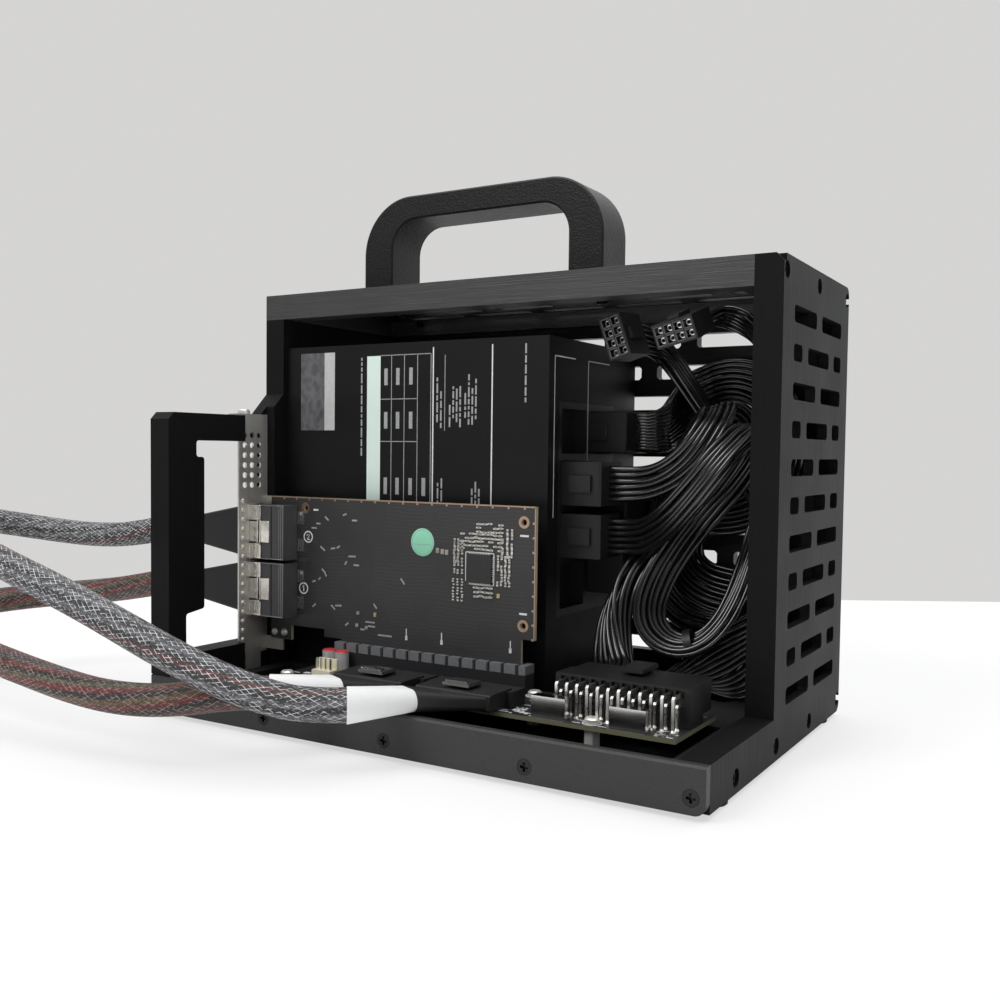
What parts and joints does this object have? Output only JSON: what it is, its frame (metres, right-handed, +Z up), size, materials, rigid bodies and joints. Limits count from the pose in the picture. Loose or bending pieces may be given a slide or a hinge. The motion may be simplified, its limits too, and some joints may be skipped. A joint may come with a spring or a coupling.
{
  "type": "external graphics card enclosure",
  "caption": "Open-front external graphics card enclosure with a carry handle: vented panels around a power supply, a dock board with an upright adapter card, and braided link cables.",
  "frame": {"origin": "on the table, under the middle of the case without its cables", "axes": "+Z up, -Y towards the open front, -X towards the side where the card's bracket looks out"},
  "size_m": [0.4025, 0.225, 0.237],
  "materials": {
    "case_black": "black, fine layer texture",
    "foot_rubber": "matte black rubber",
    "screw_black": "black oxide",
    "screw_nickel": "bright nickel",
    "board_dark": "black solder mask",
    "connector_black": "moulded black",
    "slot_grey": "moulded dark grey",
    "pin_metal": "tinned",
    "can_metal": "polished",
    "cap_metal": "silver can",
    "header_cream": "cream nylon",
    "bracket_metal": "bare plated sheet",
    "psu_black": "black powder coat",
    "fan_plastic": "black",
    "psu_board": "brown board with parts",
    "wire_black": "black insulated wires",
    "braid_grey": "grey and black braid",
    "braid_red": "red and yellow braid",
    "sleeve_white": "white shrink sleeve"
  },
  "bodies": {
    "enclosure": {"base_tray": "case_black", "front_bar": "case_black", "left_panel": "case_black", "right_panel": "case_black", "rear_panel": "case_black", "top_panel": "case_black", "carry_handle": "case_black", "rubber_feet": "foot_rubber", "front_bar_screws": "screw_black", "panel_screws": "screw_black", "handle_screws": "screw_black", "psu_screws": "screw_black", "board_standoffs": "screw_nickel", "board_screws": "screw_nickel", "bracket_screw": "screw_nickel", "dock_board": "board_dark", "card_board": "board_dark", "power_header": "connector_black", "power_plug": "connector_black", "link_socket_a": "connector_black", "link_socket_b": "connector_black", "link_plug_a": "connector_black", "link_plug_b": "connector_black", "card_port_a": "connector_black", "card_port_b": "connector_black", "card_plug_a": "connector_black", "card_plug_b": "connector_black", "card_chip": "connector_black", "psu_plug_a": "connector_black", "psu_plug_b": "connector_black", "psu_plug_long": "connector_black", "psu_socket_panel": "connector_black", "psu_inlet": "connector_black", "psu_switch_bezel": "connector_black", "loose_plug_a": "connector_black", "loose_plug_b": "connector_black", "cable_tie": "connector_black", "pcie_slot": "slot_grey", "power_header_pins": "pin_metal", "shield_cans": "can_metal", "capacitors": "cap_metal", "fan_header": "header_cream", "card_bracket": "bracket_metal", "psu_chassis": "psu_black", "psu_lid": "psu_black", "psu_fan_grille": "psu_black", "psu_fan_frame": "fan_plastic", "psu_circuit": "psu_board", "lead_a": "wire_black", "lead_b": "wire_black", "harness": "wire_black", "host_cable_a": "braid_grey", "host_cable_b": "braid_red", "link_sleeve_a": "sleeve_white", "link_sleeve_b": "sleeve_white"},
    "fan_rotor": {"psu_fan_rotor": "fan_plastic"},
    "mains_switch": {"psu_switch": "connector_black"},
    "power_latch": {"power_plug_latch": "connector_black"},
    "link_latch_left": {"link_latch_a": "can_metal"},
    "link_latch_right": {"link_latch_b": "can_metal"}
  },
  "joints": [
    {"name": "fan_spin", "type": "hinge", "parent": "enclosure", "child": "fan_rotor", "pos_m": [-0.043, 0.062, 0.088], "axis": [0, 1, 0], "continuous": true},
    {"name": "mains_rocker", "type": "hinge", "parent": "enclosure", "child": "mains_switch", "pos_m": [-0.111, 0.019, 0.083], "axis": [0, 1, 0], "range_deg": [-18, 0]},
    {"name": "power_latch_rock", "type": "hinge", "parent": "enclosure", "child": "power_latch", "pos_m": [0.0765, -0.0238, 0.0338], "axis": [1, 0, 0], "range_deg": [-6, 0], "stiffness_Nm_per_rad": 0.02},
    {"name": "link_latch_left_press", "type": "hinge", "parent": "enclosure", "child": "link_latch_left", "pos_m": [-0.0255, -0.0516, 0.026], "axis": [1, 0, 0], "range_deg": [0, 5], "stiffness_Nm_per_rad": 0.02},
    {"name": "link_latch_right_press", "type": "hinge", "parent": "enclosure", "child": "link_latch_right", "pos_m": [0.0155, -0.0516, 0.026], "axis": [1, 0, 0], "range_deg": [0, 5], "stiffness_Nm_per_rad": 0.02}
  ]
}
